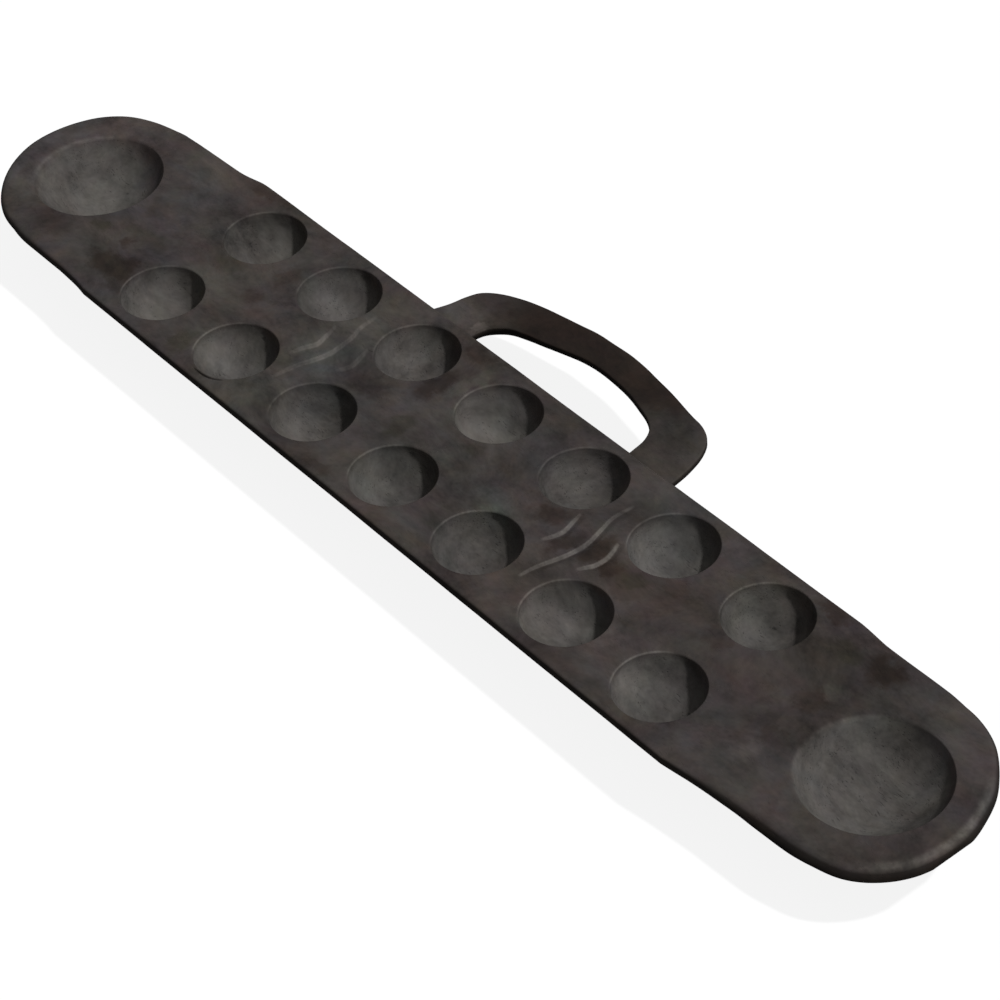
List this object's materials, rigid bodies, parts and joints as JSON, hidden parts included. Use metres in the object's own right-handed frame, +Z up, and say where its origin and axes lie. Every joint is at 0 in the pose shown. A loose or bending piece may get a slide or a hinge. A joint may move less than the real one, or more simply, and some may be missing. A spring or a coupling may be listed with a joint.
{
  "type": "sungka board",
  "caption": "Long carved wooden game board with rows of small round bowls, a large round bowl at each rounded end and a flat bow handle on one long edge.",
  "frame": {"origin": "on the flat underside of the board, below the middle of its bowl rows", "axes": "+X along the board's length, +Y across it towards the handle, +Z up towards the bowls"},
  "size_m": [0.8998, 0.221, 0.045],
  "materials": {
    "board_wood": "matt, dark, aged and hand-worn, with brown blotches and greyer bowls",
    "handle_wood": "matt, dark brown, smoothed by handling",
    "peg_wood": "matt whittled hardwood"
  },
  "bodies": {
    "root": {"board": "board_wood", "handle": "handle_wood", "left_tenon_peg": "peg_wood", "right_tenon_peg": "peg_wood"}
  },
  "joints": []
}
